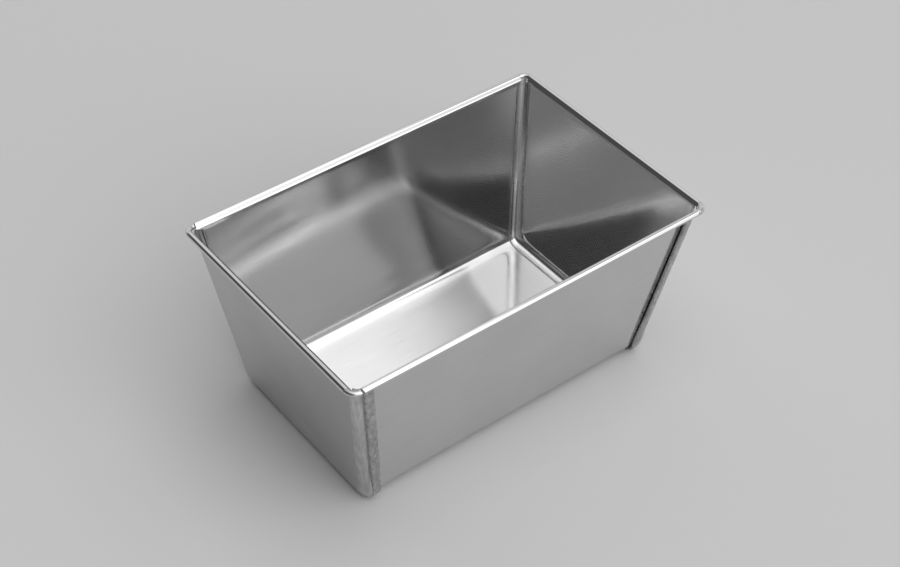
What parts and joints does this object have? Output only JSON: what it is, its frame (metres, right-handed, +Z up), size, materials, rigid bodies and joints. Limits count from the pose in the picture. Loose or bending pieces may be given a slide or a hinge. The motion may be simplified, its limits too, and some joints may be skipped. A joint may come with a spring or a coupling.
{
  "type": "small loaf pan",
  "caption": "Small tapered loaf pan folded from bright tinplate, with end panels lock-seamed to a bent trough and a rim rolled round a wire that shows bare at the corners.",
  "frame": {"origin": "centre of the pan's footprint, on the table under the seams it stands on", "axes": "+X along the pan towards the right end, +Y across it towards the back long wall, +Z up out of the mouth"},
  "size_m": [0.16, 0.1058, 0.075],
  "materials": {
    "tinplate": "bright tinned sheet, half mirror, lightly scuffed",
    "rim_wire": "plain drawn steel wire"
  },
  "bodies": {
    "root": {"trough": "tinplate", "end_cap_left": "tinplate", "end_cap_right": "tinplate", "rim_wire": "rim_wire"}
  },
  "joints": []
}
